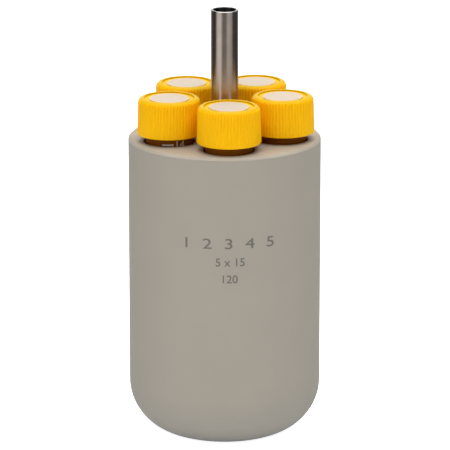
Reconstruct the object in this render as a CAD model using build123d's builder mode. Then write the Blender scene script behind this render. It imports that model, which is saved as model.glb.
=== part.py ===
"""Round tube carrier for a swing-out centrifuge bucket.

A solid, round-bottomed plastic carrier holds five conical screw-cap tubes on a
pitch circle.  A steel tube pressed into its centre lifts it out of the bucket.

Millimetres, +Z up.  The origin is the middle of the flat base, and the first
tube stands towards -Y.
"""
from build123d import *
import os
from math import cos, radians, sin, tan

os.makedirs("parts", exist_ok=True)

# ---------------------------------------------------------------- carrier body
carrier_d = 69.5        # slides into a 70 mm bucket
base_round = 18.8       # large radius between side and base
rim_chamfer = 0.8       # bevel round the top face
rim_soften = 0.25       # rounding of that bevel's two edges

# ------------------------------------------------------- bores for the tubes
tube_count = 5
pitch_d = 42.8          # pitch circle of the bores
bore_clearance = 0.6    # radial room between a tube and its bore
bore_edge_break = 0.3   # small bevel at each bore's mouth
tip_relief = 0.9        # free depth under a tube's tip

# ----------------------------------------------------------------- lifting tube
lift_d = 10.0           # outside diameter above the carrier
lift_wall = 1.0
shank_d = 9.6           # turned-down end, a press fit in the carrier
shank_neck = 0.6        # height of the shank's step above the top face
lift_depth = 95.0       # length held in the carrier
lift_rise = 46.3        # length standing above the top face
lift_edge_break = 0.2   # deburred inner edges

# ---------------------------------------------------------- conical tube, 15 ml
tube_d = 17.0
tube_wall = 1.1
tube_length = 117.0     # tip to rim
cone_half_angle = 14.3  # degrees
tip_round = 3.0         # outside radius of the tip
tip_height = 6.2        # tip above the base of the carrier
tube_rim_bevel = 0.3

# ------------------------------------------------------------------- screw cap
cap_d = 22.9            # across the foot of the skirt
cap_h = 13.25
cap_gap = 2.8           # free height between a closed cap and the carrier
cap_draft = 1.2         # degrees, the skirt narrows upwards
cap_shoulder = 1.8      # rounding from the skirt to the top
cap_edge_bevel = 0.3    # at the foot of the skirt
recess_d = 17.6         # shallow dish in the top
recess_depth = 0.65
recess_edge_bevel = 0.4
cap_plate = 1.4         # thickness of the top under the dish
thread_room = 1.1       # radial room for the threads between neck and skirt

rib_count = 60
flute_depth = 0.3       # between two ribs
flute_width = 0.6
flute_run_out = 0.5     # height over which a flute fades out under the shoulder
foot_band = 1.1         # plain band under the ribs

# ------------------------------------------------- write-on disc, sealing disc
disc_d = 14.6
disc_thickness = 0.3
seal_thickness = 0.8
seal_clearance = 0.2    # by which the seal reaches past the tube's wall

# ------------------------------------------------------------- derived values
carrier_r = carrier_d / 2
pitch_r = pitch_d / 2
tube_r = tube_d / 2
bore_r = tube_r + bore_clearance
lift_r = lift_d / 2
shank_r = shank_d / 2
cap_r = cap_d / 2

rim_z = tip_height + tube_length            # mouth of a tube
dish_z = rim_z + seal_thickness + cap_plate  # floor of the dish in a cap
cap_top_z = dish_z + recess_depth
cap_foot_z = cap_top_z - cap_h
carrier_h = cap_foot_z - cap_gap            # base to top face

cone_slope = tan(radians(cone_half_angle))  # radius gained per height
tip_centre_z = tip_height + tip_round
cone_start_r = tip_round * cos(radians(cone_half_angle))
cone_start_z = tip_centre_z - tip_round * sin(radians(cone_half_angle))

upright = (Align.CENTER, Align.CENTER, Align.MIN)   # a form stands on its place


def cone_z(radius):
    """Height at which the tube's outer cone has this radius."""
    return cone_start_z + (radius - cone_start_r) / cone_slope


def skirt_r(z):
    """Outside radius of a cap's skirt at height z, with its draft."""
    return cap_r - (z - cap_foot_z) * tan(radians(cap_draft))


def stations():
    """The tubes' places on the pitch circle, the first towards -Y."""
    return PolarLocations(pitch_r, tube_count, start_angle=-90, rotate=False)


def finish(form, name, place=None):
    """Label a form, written where it stands or at a station, as one piece."""
    piece = form.part if place is None else form.part.moved(place)
    piece.label = name
    export_step(piece, f"parts/{name}.step")


# ------------------------------------------------------------ forms of the cuts
# Bore: straight, then a cone that seats the tube's own cone along its length.
with BuildPart() as bore_form:
    with BuildSketch(Plane.XZ):
        with BuildLine():
            Polyline(
                (0, tip_height - tip_relief),
                (cone_start_r, tip_height - tip_relief),
                (cone_start_r, cone_start_z),
                (bore_r, cone_z(bore_r)),
                (bore_r, carrier_h - bore_edge_break),
                (bore_r + bore_edge_break, carrier_h),
                (0, carrier_h),
                close=True,
            )
        make_face()
    revolve(axis=Axis.Z)

# Flute: its floor follows the draft of the skirt and runs out under the shoulder.
flute_foot_z = cap_foot_z + foot_band
flute_top_z = cap_top_z - cap_shoulder
with BuildPart() as flute_form:
    with BuildSketch(Plane.XZ):
        with BuildLine():
            Polyline(
                (skirt_r(flute_foot_z) - flute_depth, flute_foot_z),
                (skirt_r(flute_top_z) - flute_depth, flute_top_z - flute_run_out),
                (skirt_r(flute_top_z), flute_top_z),
                (cap_r + flute_depth, flute_top_z),
                (cap_r + flute_depth, flute_foot_z),
                close=True,
            )
        make_face()
    extrude(amount=flute_width / 2, both=True)

# ----------------------------------------------------------------- carrier body
with BuildPart() as carrier_body:
    Cylinder(carrier_r, carrier_h, align=upright)
    fillet(carrier_body.edges().group_by(Axis.Z)[0], radius=base_round)
    chamfer(carrier_body.edges().group_by(Axis.Z)[-1], length=rim_chamfer)
    bevel = carrier_body.faces().filter_by(GeomType.CONE)
    fillet(bevel.edges().filter_by(GeomType.CIRCLE), radius=rim_soften)
    with stations():
        add(bore_form.part, mode=Mode.SUBTRACT)
    with Locations((0, 0, carrier_h)):
        Hole(shank_r, depth=lift_depth)
finish(carrier_body, "carrier_body")

# ----------------------------------------------------------------- lifting tube
with BuildPart() as lift_tube:
    with Locations((0, 0, carrier_h - lift_depth)):
        Cylinder(shank_r, lift_depth + shank_neck, align=upright)
    with Locations((0, 0, carrier_h + shank_neck)):
        Cylinder(lift_r, lift_rise - shank_neck, align=upright)
    with Locations((0, 0, carrier_h + lift_rise)):
        Hole(lift_r - lift_wall)
    circles = lift_tube.edges().filter_by(GeomType.CIRCLE)
    chamfer(circles.group_by(SortBy.RADIUS)[0], length=lift_edge_break)
finish(lift_tube, "lift_tube")

# ----------------------------------------------------------------- conical tube
with BuildPart() as tube_form:
    with BuildSketch(Plane.XZ):
        with BuildLine():
            tip = CenterArc((0, tip_centre_z), tip_round, -90, 90 - cone_half_angle)
            Polyline(
                tip @ 1,
                (tube_r, cone_z(tube_r)),
                (tube_r, rim_z),
                (0, rim_z),
                tip @ 0,
            )
        make_face()
    revolve(axis=Axis.Z)
    offset(amount=-tube_wall, openings=tube_form.faces().sort_by(Axis.Z)[-1])
    chamfer(tube_form.edges().group_by(Axis.Z)[-1], length=tube_rim_bevel)

# -------------------------------------------------------------------- screw cap
with BuildPart() as cap_form:
    with Locations((0, 0, cap_foot_z)):
        Cone(cap_r, skirt_r(cap_top_z), cap_h, align=upright)
    fillet(cap_form.edges().group_by(Axis.Z)[-1], radius=cap_shoulder)
    chamfer(cap_form.edges().group_by(Axis.Z)[0], length=cap_edge_bevel)
    with Locations((0, 0, dish_z)):
        Cylinder(
            recess_d / 2,
            recess_depth,
            align=upright,
            mode=Mode.SUBTRACT,
        )
    crest = cap_form.edges().group_by(Axis.Z)[-1].sort_by(SortBy.RADIUS)[0]
    chamfer(crest, length=recess_edge_bevel)
    with PolarLocations(0, rib_count):
        add(flute_form.part, mode=Mode.SUBTRACT)
    with Locations((0, 0, cap_foot_z)):
        Cylinder(
            tube_r + thread_room,
            cap_h - recess_depth - cap_plate,
            align=upright,
            mode=Mode.SUBTRACT,
        )

# ------------------------------------------------- write-on disc in the dish
with BuildPart() as disc_form:
    with BuildSketch(Plane.XY.offset(dish_z)):
        Circle(disc_d / 2)
    extrude(amount=disc_thickness)

# ------------------------------------------ sealing disc between cap and rim
with BuildPart() as seal_form:
    with BuildSketch(Plane.XY.offset(rim_z)):
        Circle(tube_r + seal_clearance)
    extrude(amount=seal_thickness)

# ------------------------------------------ one of each at every station
for number, place in enumerate(stations(), start=1):
    finish(tube_form, f"tube_{number}", place)
    finish(seal_form, f"seal_{number}", place)
    finish(cap_form, f"cap_{number}", place)
    finish(disc_form, f"cap_disc_{number}", place)
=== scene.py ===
"""Finishes, small pieces and studio for a round carrier that holds five conical screw-cap tubes.

The packed part is loaded as a fixed frame.  Its carrier, tubes and seals keep their own meshes
and get materials.  The ribbed caps, their write-on discs, the threads, the printed scales, the
marks on the side and the lifting tube are worked out here as surfaces that fit the frame's boxes.
"""
import math

import bmesh
import bpy
import numpy as np
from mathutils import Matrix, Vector


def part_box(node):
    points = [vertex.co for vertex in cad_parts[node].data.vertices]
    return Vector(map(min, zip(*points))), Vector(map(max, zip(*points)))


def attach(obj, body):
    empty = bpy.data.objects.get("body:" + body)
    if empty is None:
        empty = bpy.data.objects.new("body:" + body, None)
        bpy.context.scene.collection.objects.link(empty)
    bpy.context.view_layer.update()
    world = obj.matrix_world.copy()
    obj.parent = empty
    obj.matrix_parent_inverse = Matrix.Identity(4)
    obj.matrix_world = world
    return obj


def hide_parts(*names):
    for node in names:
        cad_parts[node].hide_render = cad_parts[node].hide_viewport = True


bl_info = {
    "name": "Round Tube Carrier",
    "version": (1, 0, 0),
    "blender": (4, 5, 0),
    "location": "View3D > Sidebar > Tube Carrier",
    "description": "Dresses a round centrifuge tube carrier with five capped conical tubes",
    "category": "Add Mesh",
}

TAU = 2 * math.pi

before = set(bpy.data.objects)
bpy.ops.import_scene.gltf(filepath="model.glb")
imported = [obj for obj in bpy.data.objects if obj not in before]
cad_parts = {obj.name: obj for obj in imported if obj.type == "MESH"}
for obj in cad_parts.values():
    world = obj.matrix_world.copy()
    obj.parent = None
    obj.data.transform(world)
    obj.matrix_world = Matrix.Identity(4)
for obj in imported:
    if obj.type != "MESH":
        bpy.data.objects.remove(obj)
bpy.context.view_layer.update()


# ------------------------------------------------------------------ places from the frame
def middle(node):
    """The middle of a node's box, seen from above."""
    low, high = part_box(node)
    return (low.x + high.x) / 2, (low.y + high.y) / 2


def half_width(node):
    """Half of a node's width along X, the radius of a round node."""
    low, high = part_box(node)
    return (high.x - low.x) / 2


TUBE_COUNT = sum(name.startswith("tube_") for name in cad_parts)
NUMBERS = range(1, TUBE_COUNT + 1)

carrier_r = half_width("carrier_body")
carrier_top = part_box("carrier_body")[1].z
tube_r = half_width("tube_1")
cap_r = half_width("cap_1")
cap_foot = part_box("cap_1")[0].z
cap_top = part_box("cap_1")[1].z
dish_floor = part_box("cap_disc_1")[0].z
disc_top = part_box("cap_disc_1")[1].z
disc_r = half_width("cap_disc_1")
lift_r = half_width("lift_tube")
lift_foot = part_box("lift_tube")[0].z
lift_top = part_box("lift_tube")[1].z

# Degrees from +X at which each tube's printed scale stands, the first tube's first.
SCALE_TURNS = (15, 70, 120, 215, -97)
CORNER_STEPS = 8            # pieces of the arc at a profile's corner
FOOT_BEVEL = 0.0003         # rounding at the foot of a cap's skirt
INK_FILM = 0.00004          # thickness of the printed scales
MARK_FILM = 0.0001          # thickness of the side's marks, most of it in the plastic
SLICE = 0.0005              # width of the slices that let flat figures bend

# Walls of soft light: degrees from the camera round the object, degrees from the wall's middle
# to its end, and strength.
LIGHT_WALLS = (
    (-48, 34, 0.862),
    (42, 34, 0.466),
    (0, 60, 0.14),
    (180, 58, 0.689),
)
ROOM_LIGHT = 0.064          # where no wall of light stands
BACKDROP = 1.05             # white that the camera sees behind the object
WHITE = (1.0, 1.0, 1.0, 1.0)


# ------------------------------------------------------------------ sizes and colours
def length(label, description, default):
    """A length in metres that a user may change."""
    return bpy.props.FloatProperty(
        name=label, description=description, default=default, min=0.0, unit="LENGTH", precision=5
    )


def angle(label, description, degrees):
    """An angle that a user may change."""
    return bpy.props.FloatProperty(
        name=label, description=description, default=math.radians(degrees), subtype="ANGLE"
    )


def amount(label, description, default):
    """A plain number that a user may change."""
    return bpy.props.FloatProperty(name=label, description=description, default=default)


def count(label, description, default):
    """A whole number that a user may change."""
    return bpy.props.IntProperty(name=label, description=description, default=default, min=1)


def colour(label, description, default):
    """A linear colour that a user may change."""
    return bpy.props.FloatVectorProperty(
        name=label,
        description=description,
        default=default,
        size=3,
        min=0.0,
        max=1.0,
        subtype="COLOR",
    )


class CarrierFinish(bpy.types.PropertyGroup):
    """Moulded and turned plastic of the carrier."""

    plastic: colour("Plastic", "Grey beige plastic", (0.368, 0.322, 0.258))
    grain: length("Grain", "Size of the fine grain", 0.00035)
    ring_pitch: length("Ring pitch", "Distance between the turned rings on the top face", 0.0005)
    line_pitch: length("Line pitch", "Distance between the faint turned lines on the side", 0.0004)


class CapSizes(bpy.types.PropertyGroup):
    """Ribbed screw caps."""

    plastic: colour("Plastic", "Yellow plastic", (0.96, 0.49, 0.002))
    # Painted shade: the top and its dish get this duller, darker yellow, though the plastic is one
    # colour all over.
    crown: colour("Crown", "Duller tone of the top and its dish", (0.62, 0.37, 0.006))
    rib_count: count("Ribs", "Ribs round the skirt", 60)
    rib_depth: length("Rib depth", "Depth of the flutes between the ribs", 0.0003)
    draft: angle("Draft", "The skirt narrows upwards by this angle", 1.2)
    foot_band: length("Foot band", "Plain band under the ribs", 0.0011)
    bead: length("Foot bead", "Rounded lip that stands proud at the foot", 0.00012)
    shoulder: length("Shoulder", "Rounding from the skirt to the top", 0.0018)
    dish_r: length("Dish", "Radius of the shallow dish in the top", 0.0088)
    plate: length("Plate", "Thickness of the top under the dish", 0.0014)
    skirt_inner_r: length("Skirt inside", "Inner radius of the skirt", 0.0096)
    seal_gap: length("Seal gap", "Hair of room over the sealing disc", 0.00002)


class DiscFinish(bpy.types.PropertyGroup):
    """Write-on discs in the caps."""

    card: colour("Disc", "Off-white writable surface", (0.507, 0.427, 0.342))
    # Brighter and creamier than the disc: a creamier tone with a painted highlight on the rounded edge.
    rim: colour("Disc's rim", "Creamier tone towards the disc's edge", (0.62, 0.483, 0.248))
    edge: length("Edge", "Rounding of the disc's edge", 0.00014)


class ThreadSizes(bpy.types.PropertyGroup):
    """Screw threads of tube and cap."""

    lead: length("Lead", "Rise in one turn", 0.003)
    ridge_height: length("Ridge height", "Height of the thread over its wall", 0.00075)
    ridge_width: length("Ridge width", "Width of the thread at its root", 0.00105)
    start: length("Start", "Height of the lower end over the cap's foot", 0.0016)
    turns: amount("Turns", "Length of a thread in turns", 1.8)


class TubeFinish(bpy.types.PropertyGroup):
    """Amber tubes and their printed scale."""

    amber: colour("Amber", "Dark amber plastic", (0.23, 0.07, 0.0012))
    ink: colour("Ink", "White print", (0.72, 0.69, 0.66))
    top_millilitre: count("Top mark", "Number beside the highest line", 14)
    top_height: length("Top line", "Height of the highest line over the tube's tip", 0.1042)
    straight_foot: length("Straight part", "Height over the tip where the cone ends", 0.0315)
    inner_r: length("Inner radius", "Inside of the tube, which sets the step of the scale", 0.0074)
    line_length: length("Line", "Length of a numbered line", 0.0042)
    line_height: length("Line width", "Width of a line", 0.0006)
    figure_height: length("Figures", "Height of the figures", 0.0029)
    figure_turn: angle("Figure turn", "From the middle of the line round to the figures", 32)


class MarkSizes(bpy.types.PropertyGroup):
    """Plain numbers marked on the carrier's side."""

    dark: colour("Mark", "Darkened plastic of the marks", (0.15, 0.134, 0.112))
    facing: angle("Facing", "Where the marks stand round the carrier", -90.9)
    upper_height: length("Upper figures", "Height of the wide row", 0.0038)
    upper_width: length("Upper row", "Width of the wide row", 0.0325)
    lower_height: length("Lower figures", "Height of the two lower rows", 0.003)
    upper_drop: length("Upper row's drop", "From the top face down to the upper row", 0.0311)
    first_gap: length("First gap", "From the wide row down to the next", 0.0068)
    row_pitch: length("Row pitch", "Between the lower rows", 0.0062)
    weight: length("Weight", "Thickening of a stroke on each side, half in the wide row", 0.00004)


class LiftFinish(bpy.types.PropertyGroup):
    """Steel tube that lifts the carrier."""

    steel: colour("Steel", "Drawn steel", (0.47, 0.405, 0.366))
    # Painted highlight: a brighter colour round the mouth stands for light caught on the rim.
    rim: colour("Rim", "Freshly cut edge at the mouth", (0.5, 0.475, 0.45))
    # Painted shade: a dark colour inside the tube stands for the shade where little light reaches.
    bore: colour("Bore", "Dull inside of the tube", (0.1, 0.09, 0.085))
    wall: length("Wall", "Wall of the tube", 0.001)
    neck: length("Neck", "Height of the shank's step over the top face", 0.0006)
    shank_r: length("Shank", "Radius of the part held in the carrier", 0.0048)
    burr: length("Burr", "Unevenness of the cut rim", 0.00008)


class StudioSettings(bpy.types.PropertyGroup):
    """Camera, floor and light."""

    camera_turn: angle("Camera turn", "Camera's place round the object", -4.2)
    camera_rise: angle("Camera rise", "Camera's height as an angle over the horizon", 15.252)
    camera_distance: length("Distance", "From the aim point to the camera", 1.38305)
    aim_height: length("Aim height", "Height of the aim point on the axis", 0.07645)
    aim_shift: length("Aim shift", "Aim point's distance right of the axis", 0.00014)
    lens: amount("Lens", "Focal length in millimetres", 305.0)
    floor: colour("Floor", "Pale floor", (0.9, 0.93, 0.97))
    floor_r: length("Floor radius", "Radius of the round floor", 3.0)
    floor_glow: amount("Floor glow", "Light that the floor adds where it is looked at", 0.88)
    floor_uplight: colour("Floor uplight", "Glow's share that reaches the object", (0.06, 0.12, 0.2))
    overhead: amount("Overhead light", "Power of the broad light above, in watts", 14.1)
    overhead_width: length("Overhead width", "Across the broad light above", 1.4)
    overhead_height: length("Overhead height", "Height of the broad light over the floor", 0.92)
    overhead_shift: length("Overhead shift", "Distance of the broad light right of the object", 0.05)
    surround: amount("Surround", "Strength of the soft light all round", 1.0)


def settings(context):
    """The scene's sizes and colours of the tube carrier."""
    return context.scene.tube_carrier


# ------------------------------------------------------------------ surfaces as arrays
def joined(*forms):
    """Puts forms together: points one after another, faces counted on from the points before."""
    points, faces, start = [], [], 0
    for form_points, form_faces in forms:
        points.append(form_points)
        faces += [tuple(corner + start for corner in face) for face in form_faces]
        start += len(form_points)
    return np.concatenate(points), faces


def grid_faces(rows, columns, round_rows=False):
    """Quads between neighbouring points of a grid, whose last column is joined to the first.

    A quad's corners are (row, column), (row, column + 1), (row + 1, column + 1), (row + 1, column),
    and a point's number is row * columns + column.  Round rows are joined in the same way.
    """
    row = np.arange(rows if round_rows else rows - 1)[:, None]
    column = np.arange(columns)[None, :]
    here, above = row * columns, (row + 1) % rows * columns
    beside = (column + 1) % columns
    corners = [here + column, here + beside, above + beside, above + column]
    return [tuple(face) for face in np.stack(corners, -1).reshape(-1, 4).tolist()]


def round_axis(centre, radius, turn, height):
    """Points at centre + radius * (cos turn, sin turn) and a height, from arrays that fit together."""
    x = centre[0] + radius * np.cos(turn)
    y = centre[1] + radius * np.sin(turn)
    return np.stack(np.broadcast_arrays(x, y, height), -1)


def once_round(steps):
    """Angles of equal steps once round a circle."""
    return np.arange(steps) * TAU / steps


def turned(radius, height, centre=(0.0, 0.0)):
    """Surface turned about an upright axis from arrays of rows by columns.

    A point stands at centre + radius * (cos a, sin a), with a going once round over the columns.
    Rows run outwards under the form, up its outside and inwards over it, so faces point outwards.
    A profile whose ends have no radius is closed by a point there, any other is joined to itself.
    """
    rows, columns = radius.shape
    points = round_axis(centre, radius, once_round(columns), height)
    if radius[0].max() > 0:
        return points.reshape(-1, 3), grid_faces(rows, columns, round_rows=True)
    inner = points[1:-1].reshape(-1, 3)
    ends = np.array([[*centre, height[0].mean()], [*centre, height[-1].mean()]])
    lower_end, upper_end = len(inner), len(inner) + 1
    last = len(inner) - columns
    pairs = [(a, (a + 1) % columns) for a in range(columns)]
    fans = [(lower_end, b, a) for a, b in pairs]
    fans += [(last + a, last + b, upper_end) for a, b in pairs]
    return np.concatenate([inner, ends]), grid_faces(rows - 2, columns) + fans


def carried(rings):
    """Solid whose closed cross-section, given as stations by ring points, is carried along a path.

    Each ring runs anticlockwise as it is seen from the path's end, so faces point outwards.
    """
    stations, size, _ = rings.shape
    first = tuple(reversed(range(size)))
    last = tuple(range((stations - 1) * size, stations * size))
    return rings.reshape(-1, 3), grid_faces(stations, size) + [first, last]


def rounded(corners, steps=CORNER_STEPS, guard=0.00012):
    """Profile through corners of (radius, height, rounding), each rounded by an arc.

    The arc touches both sides at rounding / tan(half the corner's angle) from the corner.  A guard
    point on each side of it keeps the flats flat under smooth shading.
    """
    points = [np.array(corners[0][:2])]
    for before, here, after in zip(corners, corners[1:], corners[2:]):
        corner = np.array(here[:2])
        back, on = np.array(before[:2]) - corner, np.array(after[:2]) - corner
        back, on = back / np.linalg.norm(back), on / np.linalg.norm(on)
        half = math.acos(float(np.clip(back @ on, -1, 1))) / 2
        reach = here[2] / math.tan(half)
        centre = corner + (back + on) / np.linalg.norm(back + on) * here[2] / math.sin(half)
        start, end = corner + back * reach - centre, corner + on * reach - centre
        sweep = np.linspace(0, 1, steps + 1)[:, None]
        swing = math.pi - 2 * half
        arc = (np.sin((1 - sweep) * swing) * start + np.sin(sweep * swing) * end) / math.sin(swing)
        points.append(corner + back * (reach + guard))
        points.extend(centre + arc)
        points.append(corner + on * (reach + guard))
    points.append(np.array(corners[-1][:2]))
    return np.array(points)


def eased(value, low, high):
    """Smooth step from 0 at low to 1 at high: 3 t^2 - 2 t^3."""
    t = np.clip((value - low) / (high - low), 0, 1)
    return t * t * (3 - 2 * t)


def wavering(turn, seed, first, last):
    """Sum of sin(waves * turn + phase) / sqrt(waves) over whole counts of waves, within -1 and 1.

    The seed gives the phases.
    """
    random = np.random.default_rng(seed)
    total = 0 * turn
    for waves in range(first, last + 1):
        total = total + np.sin(waves * turn + random.uniform(0, TAU)) / waves**0.5
    return total / np.abs(total).max()


def bent(points, centre, radius, facing, height):
    """Lays flat points on an upright cylinder.

    The turn is facing + x / radius, the reach from the axis radius + z, and the height goes on by y.
    """
    x, y, z = points.T
    return round_axis(centre, radius + z, facing + x / radius, height + y)


def bar(width, height, thickness):
    """Flat bar about the middle: a rectangle of height by thickness carried along x in 12 slices."""
    x = np.linspace(-width / 2, width / 2, 13)[:, None]
    y = np.array([-1, 1, 1, -1]) * height / 2
    z = np.array([-1, -1, 1, 1]) * thickness / 2
    return carried(np.stack(np.broadcast_arrays(x, y, z), -1))


def figures(text, height, thickness, width=None, weight=0.0):
    """Flat figures of a height, about the middle, cut into slices along x so that they can be bent.

    A weight thickens each stroke by so much on both sides, within the figures' height and width.
    """
    curve = bpy.data.curves.new("figures", "FONT")
    curve.body = text
    curve.extrude = 0.5
    curve.resolution_u = 5
    holder = bpy.data.objects.new("figures", curve)
    bpy.context.scene.collection.objects.link(holder)
    mesh = bpy.data.meshes.new_from_object(holder)
    bpy.data.objects.remove(holder)
    bpy.data.curves.remove(curve)
    points = np.zeros(len(mesh.vertices) * 3, np.float32)
    mesh.vertices.foreach_get("co", points)
    points = points.reshape(-1, 3).astype(float)
    low, high = points.min(0), points.max(0)
    scale = (height - 2 * weight) / (high[1] - low[1])
    wide = scale if width is None else (width - 2 * weight) / (high[0] - low[0])
    points = (points - (low + high) / 2) * (wide, scale, thickness)
    mesh.vertices.foreach_set("co", points.astype(np.float32).ravel())
    return sliced(mesh, SLICE, weight)


def sliced(mesh, width, weight):
    """A flat mesh's points and faces after upright cuts every width along x; the mesh is used up.

    A weight then moves each side wall outwards: a point goes by weight * n / |n|, with n the part
    of its normal that lies in the plane, which is nothing inside the flat faces.
    """
    work = bmesh.new()
    work.from_mesh(mesh)
    bmesh.ops.remove_doubles(work, verts=work.verts, dist=1e-7)
    bmesh.ops.recalc_face_normals(work, faces=work.faces)
    reach = max(abs(vertex.co.x) for vertex in work.verts)
    for x in np.arange(-reach + width, reach, width):
        whole = work.verts[:] + work.edges[:] + work.faces[:]
        bmesh.ops.bisect_plane(work, geom=whole, plane_co=(x, 0, 0), plane_no=(1, 0, 0))
    work.verts.index_update()
    work.normal_update()
    points = np.array([vertex.co for vertex in work.verts])
    level = np.array([vertex.normal.xy for vertex in work.verts])
    inside_faces = 0.1
    size = np.linalg.norm(level, axis=1, keepdims=True)
    points[:, :2] += weight * level / np.maximum(size, inside_faces)
    faces = [tuple(vertex.index for vertex in face.verts) for face in work.faces]
    work.free()
    bpy.data.meshes.remove(mesh)
    return points, faces


def piece(name, form, material, body, smooth=True, attributes=None):
    """Makes a form an object at the origin, which rides on a body and has a material slot."""
    points, faces = form
    mesh = bpy.data.meshes.new(name)
    mesh.from_pydata(points.tolist(), [], faces)
    mesh.polygons.foreach_set("use_smooth", [smooth] * len(faces))
    for key, (kind, values) in (attributes or {}).items():
        layer = mesh.attributes.new(key, kind, "POINT")
        part = "vector" if kind == "FLOAT_VECTOR" else "value"
        layer.data.foreach_set(part, values.astype(np.float32).ravel())
    mesh.validate()
    mesh.materials.append(material)
    made = bpy.data.objects.new(name, mesh)
    bpy.context.scene.collection.objects.link(made)
    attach(made, body)
    return made


def own_values(form, shift, **shares):
    """Attributes of a form: each point's place from a shifted middle, and named shares."""
    own = {"own_place": ("FLOAT_VECTOR", form[0] - shift)}
    own.update({name: ("FLOAT", values) for name, values in shares.items()})
    return own


def dress(node, material):
    """Gives a node of the frame its material."""
    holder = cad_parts[node]
    if not holder.material_slots:
        holder.data.materials.append(material)
    for place in holder.material_slots:
        place.material = material


# ------------------------------------------------------------------ materials as expressions
class Wire:
    """One output of a node.  Arithmetic on it adds Math nodes."""

    def __init__(self, graph, socket):
        self.graph = graph
        self.socket = socket

    def math(self, operation, *values):
        """A Math node of an operation on values or wires."""
        return self.graph.node("ShaderNodeMath", {"operation": operation}, values)

    def __add__(self, other):
        return self.math("ADD", self, other)

    def __sub__(self, other):
        return self.math("SUBTRACT", self, other)

    def __rsub__(self, other):
        return self.math("SUBTRACT", other, self)

    def __mul__(self, other):
        return self.math("MULTIPLY", self, other)

    def __pow__(self, other):
        return self.math("POWER", self, other)

    __radd__ = __add__
    __rmul__ = __mul__

    def sine(self):
        """The sine of this, as an angle in radians."""
        return self.math("SINE", self)

    def between(self, low, high):
        """Runs smoothly from 0 to 1 as this goes from low to high."""
        limits = {"Value": self, "From Min": low, "From Max": high}
        return self.graph.node("ShaderNodeMapRange", {"interpolation_type": "SMOOTHSTEP"}, limits)


class Graph:
    """A node tree, emptied, and the one method that adds nodes to it."""

    def __init__(self, tree):
        self.tree = tree
        tree.nodes.clear()

    def node(self, kind, choices=None, values=(), output=0):
        """Adds a node: its choices first, then a value or a wire for each socket by name or number."""
        made = self.tree.nodes.new(kind)
        for key, value in (choices or {}).items():
            setattr(made, key, value)
        for key, value in values.items() if isinstance(values, dict) else enumerate(values):
            if isinstance(value, Wire):
                self.tree.links.new(value.socket, made.inputs[key])
            else:
                made.inputs[key].default_value = value
        return Wire(self, made.outputs[output]) if len(made.outputs) else None

    def mix(self, share, first, second):
        """A colour that goes from first to second."""
        colour_sockets = {0: share, 6: first, 7: second}
        return self.node("ShaderNodeMix", {"data_type": "RGBA"}, colour_sockets, 2)

    def place(self):
        """The point in the object's own coordinates, which are the frame's."""
        return self.node("ShaderNodeTexCoord", output="Object")

    def own(self, name, output="Vector"):
        """A value that the mesh carries under a name."""
        return self.node("ShaderNodeAttribute", {"attribute_name": name}, output=output)

    def parts(self, vector):
        """The three parts of a vector."""
        split = self.node("ShaderNodeSeparateXYZ", values=[vector])
        return [Wire(self, socket) for socket in split.socket.node.outputs]

    def stretched(self, vector, scale):
        """A vector scaled by a different number along each axis."""
        return self.node("ShaderNodeMapping", values={"Vector": vector, "Scale": scale})

    def noise(self, vector, size, detail=3.0, roughness=0.5):
        """Cloudy noise from 0 to 1 with blotches of a size in metres."""
        values = {"Vector": vector, "Scale": 1 / size, "Detail": detail, "Roughness": roughness}
        return self.node("ShaderNodeTexNoise", values=values)

    def bumped(self, height, depth):
        """A normal from a height from 0 to 1 that stands for a depth in metres."""
        values = {"Strength": 1.0, "Distance": depth, "Height": height}
        return self.node("ShaderNodeBump", values=values)

    def vector_math(self, operation, values, output=0):
        """A Vector Math node of an operation."""
        return self.node("ShaderNodeVectorMath", {"operation": operation}, values, output)

    def surface(self, values):
        """The finished surface, from values or wires for the sockets of a Principled shader."""
        shader = self.node("ShaderNodeBsdfPrincipled", values=values)
        self.node("ShaderNodeOutputMaterial", values=[shader])


def new_finish(name):
    """A new material and its graph."""
    material = bpy.data.materials.new(name)
    material.use_nodes = True
    return material, Graph(material.node_tree)


def tinted(shade, factor=1.0):
    """An opaque colour, brighter or darker by a factor."""
    return tuple(min(1.0, part * factor) for part in shade) + (1.0,)


def carrier_plastic(finish):
    """Matt filled plastic: fine grain, faint clouds, turned rings on the top, lines on the side."""
    material, graph = new_finish("carrier plastic")
    place = graph.place()
    x, y, z = graph.parts(place)
    grain = graph.noise(place, finish.grain, 2.0)
    clouds = graph.noise(place, 0.014, 3.0)
    fine = graph.noise(place, 0.0016, 4.0, 0.6)
    reach = (x * x + y * y) ** 0.5
    facing_up = z.between(carrier_top - 0.0002, carrier_top - 0.0001)
    rings = (reach * (TAU / finish.ring_pitch)).sine()
    lines = (z * (TAU / finish.line_pitch)).sine()
    tone = clouds * 0.55 + fine * 0.3 + grain * 0.15
    base = graph.mix(tone, tinted(finish.plastic, 0.95), tinted(finish.plastic, 1.05))
    relief = grain * 0.7 + facing_up * (rings * 0.25) + (1 - facing_up) * (lines * 0.08)
    graph.surface(
        {
            "Base Color": base,
            "Roughness": 0.5 + fine * 0.12 - facing_up * 0.06,
            "Specular IOR Level": 0.3,
            "Normal": graph.bumped(relief, 0.000012),
        }
    )
    return material


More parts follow.
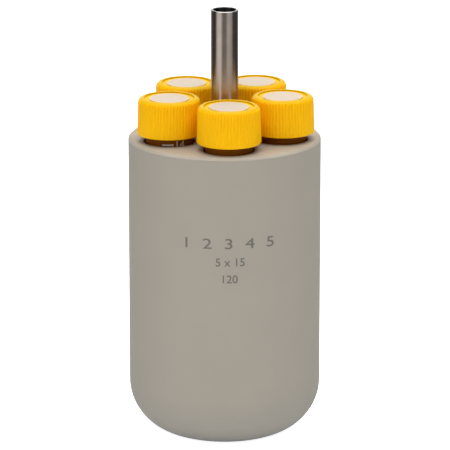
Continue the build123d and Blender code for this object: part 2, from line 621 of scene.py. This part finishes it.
def cap_plastic(finish):
    """Yellow moulded plastic, with painted shade making the flutes deeper in colour and the top duller.
    """
    material, graph = new_finish("cap plastic")
    place = graph.own("own_place")
    flute = graph.own("flute", "Fac")
    crown = graph.own("crown", "Fac")
    clouds = graph.noise(place, 0.006, 3.0)
    fine = graph.noise(place, 0.0004, 3.0, 0.6)
    bright = graph.mix(clouds, tinted(finish.plastic, 0.97), tinted(finish.plastic, 1.03))
    # Painted shade: a deeper, darker yellow in the flutes, where the grooves would be shaded.
    painted_flute_shade = (finish.plastic[0] * 0.96, finish.plastic[1] * 0.9, finish.plastic[2], 1.0)
    skirt = graph.mix(flute * 0.5, bright, painted_flute_shade)
    graph.surface(
        {
            # Painted shade: the top and its dish take the duller yellow.
            "Base Color": graph.mix(crown, skirt, tinted(finish.crown)),
            "Roughness": 0.26 + fine * 0.1,
            "Specular IOR Level": 0.05,
            "Subsurface Weight": 0.12,
            "Subsurface Radius": (0.0016, 0.0007, 0.0001),
            "Subsurface Scale": 1.0,
            "Normal": graph.bumped(fine * 0.6 + clouds * 0.4, 0.00001),
        }
    )
    return material


def disc_card(finish):
    """Off-white writable disc with a faint tooth, a few soft scuffs and a creamier rim with a painted
    highlight.
    """
    material, graph = new_finish("write-on disc")
    place = graph.own("own_place")
    x, y, _ = graph.parts(place)
    # The rim's share: its brighter, creamier colour is partly a painted highlight on the rounded edge.
    rim = ((x * x + y * y) ** 0.5).between(0.84 * disc_r, 0.99 * disc_r)
    tooth = graph.noise(place, 0.0005, 4.0, 0.7)
    clouds = graph.noise(place, 0.004, 3.0)
    scuffs = graph.noise(graph.stretched(place, (1.0, 6.0, 1.0)), 0.006, 2.0).between(0.6, 0.75)
    tone = clouds * 0.7 + tooth * 0.3
    clean = graph.mix(tone, tinted(finish.card, 0.94), tinted(finish.card, 1.04))
    scuffed = graph.mix(scuffs * 0.12, clean, tinted(finish.card, 0.8))
    graph.surface(
        {
            "Base Color": graph.mix(rim * 0.7, scuffed, tinted(finish.rim)),
            "Roughness": 0.55 + tooth * 0.15,
            "Specular IOR Level": 0.3,
            "Normal": graph.bumped(tooth, 0.00002),
        }
    )
    return material


def amber_plastic(finish):
    """Dark amber tube wall, smooth, with faint flow lines along it."""
    material, graph = new_finish("amber plastic")
    place = graph.place()
    flow = graph.noise(graph.stretched(place, (1.0, 1.0, 0.08)), 0.0012, 2.0)
    clouds = graph.noise(place, 0.01, 2.0)
    tone = flow * 0.5 + clouds * 0.5
    graph.surface(
        {
            "Base Color": graph.mix(tone, tinted(finish.amber, 0.8), tinted(finish.amber, 1.2)),
            "Roughness": 0.2 + clouds * 0.1,
            "Specular IOR Level": 0.06,
            "Normal": graph.bumped(flow, 0.000006),
        }
    )
    return material


def seal_foam():
    """Pale closed foam of the sealing discs."""
    material, graph = new_finish("seal foam")
    cells = graph.noise(graph.place(), 0.0003, 2.0)
    graph.surface(
        {
            "Base Color": graph.mix(cells, (0.66, 0.65, 0.6, 1.0), (0.8, 0.79, 0.75, 1.0)),
            "Roughness": 0.62 + cells * 0.1,
            "Normal": graph.bumped(cells, 0.00003),
        }
    )
    return material


def scale_ink(finish):
    """White print, a little uneven where it is thin."""
    material, graph = new_finish("scale ink")
    patches = graph.noise(graph.place(), 0.0006, 3.0, 0.7)
    cover = patches.between(0.35, 0.65)
    graph.surface(
        {
            "Base Color": graph.mix(cover, tinted(finish.ink, 0.82), tinted(finish.ink, 1.05)),
            "Roughness": 0.45 + patches * 0.1,
            "Normal": graph.bumped(patches, 0.00001),
        }
    )
    return material


def mark_dark(sizes):
    """Plastic darkened by marking, with a slightly uneven tone."""
    material, graph = new_finish("side mark")
    patches = graph.noise(graph.place(), 0.0005, 3.0, 0.7)
    graph.surface(
        {
            "Base Color": graph.mix(patches, tinted(sizes.dark, 0.85), tinted(sizes.dark, 1.15)),
            "Roughness": 0.6 + patches * 0.15,
            "Normal": graph.bumped(patches, 0.00002),
        }
    )
    return material


def drawn_steel(finish):
    """Drawn steel: fine scratches round it, dull patches, a painted highlight on the cut rim, painted
    shade in the bore.
    """
    material, graph = new_finish("drawn steel")
    place = graph.place()
    x, y, z = graph.parts(place)
    bore_r = lift_r - finish.wall
    across = graph.noise(graph.stretched(place, (1.0, 1.0, 9.0)), 0.0022, 4.0, 0.7)
    patches = graph.noise(place, 0.006, 4.0, 0.6)
    reach = (x * x + y * y) ** 0.5
    # Painted shade: the bore's share takes the dark colour.
    bore = 1 - reach.between(bore_r + 0.00005, bore_r + 0.00022)
    # Painted highlight: the rim's share takes the brighter colour, mixed over the drawn steel.
    rim = z.between(lift_top - 0.0003, lift_top - 0.00015)
    tone = patches * 0.7 + across * 0.3
    drawn = graph.mix(tone.between(0.3, 0.7), tinted(finish.steel, 0.93), tinted(finish.steel, 1.06))
    cut = graph.mix(rim, drawn, tinted(finish.rim))
    graph.surface(
        {
            "Base Color": graph.mix(bore, cut, tinted(finish.bore)),
            "Metallic": 1.0,
            "Roughness": 0.21 + patches * 0.04 + across * 0.03,
            "Anisotropic": 0.9,
            "Anisotropic Rotation": 0.25,
            "Normal": graph.bumped(across, 0.0000006),
        }
    )
    return material


# ------------------------------------------------------------------ forms of the pieces
def cap_form(sizes, centre):
    """Ribbed cap: its profile is turned, and flutes are sunk into the skirt.

    The flutes' floor is cap_r - slope * height - depth * groove, and its depth fades in above the
    foot band.  The smaller of that floor and the turned profile is kept, blended over a few
    hundredths of a millimetre, so each flute runs out by itself where the shoulder bends inwards.
    Returned after the form: the share of a flute and of the top at each point, where shade is painted.
    """
    rise = cap_top - cap_foot
    slope = math.tan(sizes.draft)
    under_plate = dish_floor - cap_foot - sizes.plate + sizes.seal_gap
    corners = [
        (0.0, under_plate, 0.0),
        (sizes.skirt_inner_r, under_plate, 0.0005),
        (sizes.skirt_inner_r, 0.0, FOOT_BEVEL),
        (cap_r, 0.0, FOOT_BEVEL),
        (cap_r - slope * rise, rise, sizes.shoulder),
        (sizes.dish_r, rise, 0.00034),
        (sizes.dish_r, dish_floor - cap_foot, 0.00025),
        (0.0, dish_floor - cap_foot, 0.0),
    ]
    profile = rounded(corners)
    columns = sizes.rib_count * 10
    turn = once_round(columns)
    radius = np.repeat(profile[:, :1], columns, 1)
    over_foot = profile[:, 1:]

    # Outside starts past the first point of the outer foot corner's arc: before it come the
    # centre, two inner corners of an arc and two guards each, and that corner's own guard.
    first_outside = 1 + 2 * (CORNER_STEPS + 3) + 2
    past_foot = np.arange(len(profile))[:, None] >= first_outside
    dish_edge = 0.0003
    outside = past_foot & (profile[:, :1] > sizes.dish_r + dish_edge)

    # A flute lies where the cosine of the ribs' turn is high, and deepens over a short run-in.
    bead_middle, bead_half = 0.0004, 0.0005
    over_bead = np.clip((over_foot - bead_middle) / bead_half, -1, 1)
    bead = sizes.bead * np.cos(over_bead * math.pi / 2)
    groove = eased(np.cos(sizes.rib_count * turn), -0.4, 0.65)
    run_in = 0.0003
    depth = sizes.rib_depth * eased(over_foot, sizes.foot_band, sizes.foot_band + run_in)
    floor = cap_r - slope * over_foot - depth * groove
    blend = 0.00005
    kept = (radius + floor - np.sqrt((radius - floor) ** 2 + blend**2)) / 2
    shaped = np.where(outside, np.minimum(kept, radius) + bead, radius)
    # The flute's share, which takes the painted shade.
    flute = np.where(outside, np.clip((radius - kept) / sizes.rib_depth, 0, 1), 0)
    # The top's share, which takes the painted shade.
    crown = eased(over_foot, rise - 0.0012, rise - 0.0001) + 0 * radius

    shares = [np.concatenate([share[1:-1].ravel(), share[[0, -1], 0]]) for share in (flute, crown)]
    return turned(shaped, over_foot + cap_foot, centre), *shares


def disc_form(finish, centre, seed):
    """Thin disc with a rounded, slightly uneven edge, turned from its profile."""
    corners = [
        (0.0, dish_floor, 0.0),
        (disc_r, dish_floor, 0.00003),
        (disc_r, disc_top, finish.edge),
        (0.0, disc_top, 0.0),
    ]
    profile = rounded(corners, 6, 0.0001)
    turn = once_round(192)
    unevenness = 0.00004
    waver = unevenness * (wavering(turn, seed, 2, 9) - 1)
    share = eased(profile[:, :1], disc_r * 0.5, disc_r)
    return turned(profile[:, :1] + share * waver, profile[:, 1:] + 0 * turn, centre)


def thread_form(sizes, centre, wall_r, outwards, foot):
    """Helical ridge on a round wall.

    Along the path the height is foot + lead * turns, and the ridge swells in and fades out over a
    twelfth of a turn.  Across it the ridge is a rounded trapezoid whose feet are sunk in the wall.
    """
    steps_per_turn = 120
    path = np.linspace(0, sizes.turns * TAU, int(sizes.turns * steps_per_turn))[:, None]
    across = np.array([-0.5, -0.5, -0.24, -0.12, 0.12, 0.24, 0.5, 0.5]) * sizes.ridge_width
    swell = np.array([-0.2, 0.0, 0.85, 1.0, 1.0, 0.85, 0.0, -0.2]) * sizes.ridge_height
    end, run_out = path[-1, 0], TAU / 12
    taper = eased(path, 0, run_out) * (1 - eased(path, end - run_out, end))
    side = 1 if outwards else -1
    reach = wall_r + side * np.where(swell > 0, swell * taper, swell)
    height = foot + sizes.lead * path / TAU + across * (0.4 + 0.6 * taper)
    rings = round_axis(centre, reach, path, height)
    return carried(rings[:, ::-side])


def lift_form(finish):
    """Steel tube: a shank, a step, a long outside and the bore, with a slightly uneven cut rim."""
    bore_r = lift_r - finish.wall
    step = carrier_top + finish.neck
    halfway = 0.5 * (lift_foot + lift_top)
    corners = [
        (bore_r, halfway, 0.0),
        (bore_r, lift_foot, 0.0002),
        (finish.shank_r, lift_foot, 0.0001),
        (finish.shank_r, step, 0.00003),
        (lift_r, step, 0.00008),
        (lift_r, lift_top, 0.00022),
        (bore_r, lift_top, 0.00025),
        (bore_r, halfway + 0.001, 0.0),
    ]
    profile = rounded(corners, 6, 0.0003)
    turn = once_round(240)
    near_rim = eased(profile[:, 1:], lift_top - 0.0012, lift_top)
    dip = finish.burr * 0.5 * (wavering(turn, 5, 1, 7) - 1)
    radius = profile[:, :1] - near_rim * finish.burr * 0.35 * (1 + wavering(turn, 8, 2, 11))
    return turned(radius, profile[:, 1:] + near_rim * dip)


def scale_form(finish, centre, facing, tip):
    """Printed scale of one tube: a line and figures for each millilitre, a short line between.

    A millilitre fills a height of one cubic centimetre over the area of the tube's inside.  The
    scale ends where the cone starts.
    """
    step = 1e-6 / (math.pi * finish.inner_r**2)
    surface_r = tube_r + INK_FILM / 4
    short = 0.55
    short_turn = facing - 0.5 * (1 - short) * finish.line_length / tube_r
    long_line = bar(finish.line_length, finish.line_height, INK_FILM)
    short_line = bar(finish.line_length * short, finish.line_height * 0.8, INK_FILM)
    parts = []
    for number in range(finish.top_millilitre, 0, -1):
        height = tip + finish.top_height - (finish.top_millilitre - number) * step
        if height < tip + finish.straight_foot:
            break
        text = figures(str(number), finish.figure_height, INK_FILM)
        for (points, faces), turn, place in (
            (long_line, facing, height),
            (short_line, short_turn, height - step / 2),
            (text, facing + finish.figure_turn, height),
        ):
            parts.append((bent(points, centre, surface_r, turn, place), faces))
    return joined(*parts)


def marks_form(sizes):
    """Three rows of plain numbers: the places, the tubes' count and size, and their length."""
    sunk_r = carrier_r - 0.3 * MARK_FILM
    upper = carrier_top - sizes.upper_drop
    second = upper - sizes.first_gap
    rows = [
        ("1  2  3  4  5", sizes.upper_height, sizes.upper_width, sizes.weight / 2, upper),
        ("5 x 15", sizes.lower_height, None, sizes.weight, second),
        ("120", sizes.lower_height, None, sizes.weight, second - sizes.row_pitch),
    ]
    parts = []
    for text, height, width, weight, place in rows:
        points, faces = figures(text, height, MARK_FILM, width, weight)
        parts.append((bent(points, (0, 0), sunk_r, sizes.facing, place), faces))
    return joined(*parts)


# ------------------------------------------------------------------ operators
class TUBE_CARRIER_OT_carrier(bpy.types.Operator):
    """Give the carrier its plastic and mark plain numbers on its side"""

    bl_idname = "tube_carrier.carrier"
    bl_label = "Carrier and Marks"

    def execute(self, context):
        chosen = settings(context)
        dress("carrier_body", carrier_plastic(chosen.carrier))
        form = marks_form(chosen.marks)
        piece("side_marks", form, mark_dark(chosen.marks), "carrier", smooth=False)
        return {"FINISHED"}


class TUBE_CARRIER_OT_lift(bpy.types.Operator):
    """Build the steel lifting tube"""

    bl_idname = "tube_carrier.lift"
    bl_label = "Lifting Tube"

    def execute(self, context):
        chosen = settings(context).lift
        made = piece("lift_steel", lift_form(chosen), drawn_steel(chosen), "carrier")
        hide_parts("lift_tube")
        return {"FINISHED"}


class TUBE_CARRIER_OT_tubes(bpy.types.Operator):
    """Finish the amber tubes, print their scales and wind the threads on their necks"""

    bl_idname = "tube_carrier.tubes"
    bl_label = "Tubes and Scales"

    def execute(self, context):
        chosen = settings(context)
        amber = amber_plastic(chosen.tube)
        ink = scale_ink(chosen.tube)
        for number, turn in zip(NUMBERS, SCALE_TURNS):
            centre = middle(f"tube_{number}")
            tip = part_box(f"tube_{number}")[0].z
            dress(f"tube_{number}", amber)
            scale = scale_form(chosen.tube, centre, math.radians(turn), tip)
            piece(f"scale_{number}", scale, ink, "carrier", smooth=False)
            foot = cap_foot + chosen.thread.start
            thread = thread_form(chosen.thread, centre, tube_r, True, foot)
            piece(f"tube_thread_{number}", thread, amber, "carrier")
        return {"FINISHED"}


class TUBE_CARRIER_OT_caps(bpy.types.Operator):
    """Build the ribbed screw caps with their inner threads, write-on discs and seals"""

    bl_idname = "tube_carrier.caps"
    bl_label = "Caps, Discs and Seals"

    def execute(self, context):
        chosen = settings(context)
        yellow = cap_plastic(chosen.cap)
        card = disc_card(chosen.disc)
        foam = seal_foam()
        for number in NUMBERS:
            centre = middle(f"cap_{number}")
            body = f"cap_{number}"
            shift = np.array([*centre, 0.1 * number])
            form, flute, crown = cap_form(chosen.cap, centre)
            own = own_values(form, shift, flute=flute, crown=crown)
            cap = piece(f"ribbed_cap_{number}", form, yellow, body, attributes=own)
            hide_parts(f"cap_{number}")

            foot = cap_foot + chosen.thread.start + chosen.thread.lead / 2
            form = thread_form(chosen.thread, centre, chosen.cap.skirt_inner_r, False, foot)
            plain = np.zeros(len(form[0]))
            own = own_values(form, shift, flute=plain, crown=plain)
            piece(f"cap_thread_{number}", form, yellow, body, attributes=own)

            form = disc_form(chosen.disc, centre, number)
            own = own_values(form, shift)
            disc = piece(f"write_on_disc_{number}", form, card, body, attributes=own)
            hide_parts(f"cap_disc_{number}")
            dress(f"seal_{number}", foam)
        return {"FINISHED"}


def toward(graph, direction, turn, width):
    """A soft wall of light: 1 towards a turn round the object, 0 beyond its width, at any height."""
    flat = graph.vector_math("MULTIPLY", [direction, (1.0, 1.0, 0.0)])
    level = graph.vector_math("NORMALIZE", [flat])
    heading = (math.sin(turn), -math.cos(turn), 0.0)
    facing = graph.vector_math("DOT_PRODUCT", [level, heading], 1)
    return facing.between(math.cos(width), 1.0)


def studio_world(chosen):
    """Soft light from broad walls in front and one behind, dim at both sides.

    The camera itself sees plain white behind the object.
    """
    world = bpy.data.worlds.new("studio")
    world.use_nodes = True
    bpy.context.scene.world = world
    graph = Graph(world.node_tree)
    direction = graph.node("ShaderNodeTexCoord", output="Generated")
    light = ROOM_LIGHT
    for degrees, width, strength in LIGHT_WALLS:
        turn = chosen.camera_turn + math.radians(degrees)
        light = light + toward(graph, direction, turn, math.radians(width)) * strength
    around = {"Color": WHITE, "Strength": light * chosen.surround}
    surround = graph.node("ShaderNodeBackground", values=around)
    backdrop = graph.node("ShaderNodeBackground", values={"Color": WHITE, "Strength": BACKDROP})
    seen = graph.node("ShaderNodeLightPath", output="Is Camera Ray")
    mixed = graph.node("ShaderNodeMixShader", values=[seen, surround, backdrop])
    graph.node("ShaderNodeOutputWorld", values=[mixed])


def floor_finish(chosen):
    """Plain pale floor with a barely visible tone."""
    material, graph = new_finish("studio floor")
    clouds = graph.noise(graph.place(), 0.3, 2.0)
    seen = graph.node("ShaderNodeLightPath", output="Is Camera Ray")
    graph.surface(
        {
            "Base Color": graph.mix(clouds, tinted(chosen.floor, 0.99), tinted(chosen.floor, 1.01)),
            "Roughness": 0.9,
            "Specular IOR Level": 0.2,
            "Emission Color": graph.mix(seen, tinted(chosen.floor_uplight), WHITE),
            "Emission Strength": chosen.floor_glow,
        }
    )
    return material


class TUBE_CARRIER_OT_stage(bpy.types.Operator):
    """Set the pale floor, the soft lights and the camera"""

    bl_idname = "tube_carrier.stage"
    bl_label = "Studio"

    def execute(self, context):
        chosen = settings(context).studio
        scene = context.scene

        edge = round_axis((0, 0), chosen.floor_r, once_round(96), 0.0)
        mesh = bpy.data.meshes.new("studio_floor")
        mesh.from_pydata(edge.tolist(), [], [tuple(range(len(edge)))])
        mesh.materials.append(floor_finish(chosen))
        floor = bpy.data.objects.new("studio_floor", mesh)
        floor.visible_glossy = False
        scene.collection.objects.link(floor)

        studio_world(chosen)
        soft = bpy.data.lights.new("overhead", "AREA")
        soft.shape = "DISK"
        soft.size = chosen.overhead_width
        soft.energy = chosen.overhead
        lamp = bpy.data.objects.new("overhead", soft)
        lamp.location = (chosen.overhead_shift, 0.0, chosen.overhead_height)
        lamp.rotation_mode = "QUATERNION"
        below = Vector((0, 0, 0.1))
        lamp.rotation_quaternion = (below - lamp.location).to_track_quat("-Z", "Y")
        scene.collection.objects.link(lamp)

        side, rise = chosen.camera_turn, chosen.camera_rise
        level = Vector((math.sin(side), -math.cos(side), 0.0))
        back = level * math.cos(rise) + Vector((0.0, 0.0, math.sin(rise)))
        right = Vector((math.cos(side), math.sin(side), 0.0))
        aim = Vector((0, 0, chosen.aim_height)) + right * chosen.aim_shift
        view = bpy.data.cameras.new("camera")
        view.sensor_width = 36.0
        view.lens = chosen.lens
        view.clip_start = 0.05
        view.clip_end = 20.0
        camera = bpy.data.objects.new("camera", view)
        camera.location = aim + back * chosen.camera_distance
        camera.rotation_mode = "QUATERNION"
        camera.rotation_quaternion = (-back).to_track_quat("-Z", "Y")
        scene.collection.objects.link(camera)
        scene.camera = camera
        scene.view_settings.view_transform = "Standard"
        return {"FINISHED"}


# ------------------------------------------------------------------ panel and registration
GROUPS = (
    ("carrier", CarrierFinish),
    ("marks", MarkSizes),
    ("lift", LiftFinish),
    ("tube", TubeFinish),
    ("thread", ThreadSizes),
    ("cap", CapSizes),
    ("disc", DiscFinish),
    ("studio", StudioSettings),
)
OPERATORS = (
    TUBE_CARRIER_OT_carrier,
    TUBE_CARRIER_OT_lift,
    TUBE_CARRIER_OT_tubes,
    TUBE_CARRIER_OT_caps,
    TUBE_CARRIER_OT_stage,
)


class TubeCarrierSettings(bpy.types.PropertyGroup):
    """All sizes and colours of the tube carrier."""

    carrier: bpy.props.PointerProperty(type=CarrierFinish, name="Carrier")
    marks: bpy.props.PointerProperty(type=MarkSizes, name="Marks")
    lift: bpy.props.PointerProperty(type=LiftFinish, name="Lifting tube")
    tube: bpy.props.PointerProperty(type=TubeFinish, name="Tubes")
    thread: bpy.props.PointerProperty(type=ThreadSizes, name="Threads")
    cap: bpy.props.PointerProperty(type=CapSizes, name="Caps")
    disc: bpy.props.PointerProperty(type=DiscFinish, name="Discs")
    studio: bpy.props.PointerProperty(type=StudioSettings, name="Studio")


class TUBE_CARRIER_PT_panel(bpy.types.Panel):
    """Sizes, colours and operators of the tube carrier"""

    bl_label = "Tube Carrier"
    bl_idname = "TUBE_CARRIER_PT_panel"
    bl_space_type = "VIEW_3D"
    bl_region_type = "UI"
    bl_category = "Tube Carrier"

    def draw(self, context):
        chosen = settings(context)
        for kind in OPERATORS:
            self.layout.operator(kind.bl_idname)
        for name, group in GROUPS:
            box = self.layout.box()
            box.label(text=group.__doc__)
            for key in group.__annotations__:
                box.prop(getattr(chosen, name), key)


CLASSES = tuple(group for _, group in GROUPS) + (TubeCarrierSettings, *OPERATORS, TUBE_CARRIER_PT_panel)


def register():
    """Registers the classes and hangs the settings on the scene."""
    for kind in CLASSES:
        bpy.utils.register_class(kind)
    bpy.types.Scene.tube_carrier = bpy.props.PointerProperty(type=TubeCarrierSettings)


def unregister():
    """Undoes what register does."""
    del bpy.types.Scene.tube_carrier
    for kind in reversed(CLASSES):
        bpy.utils.unregister_class(kind)


def main():
    """Build everything in order."""
    register()
    bpy.ops.tube_carrier.stage()
    bpy.ops.tube_carrier.carrier()
    bpy.ops.tube_carrier.lift()
    bpy.ops.tube_carrier.tubes()
    bpy.ops.tube_carrier.caps()


if __name__ == "__main__":
    main()
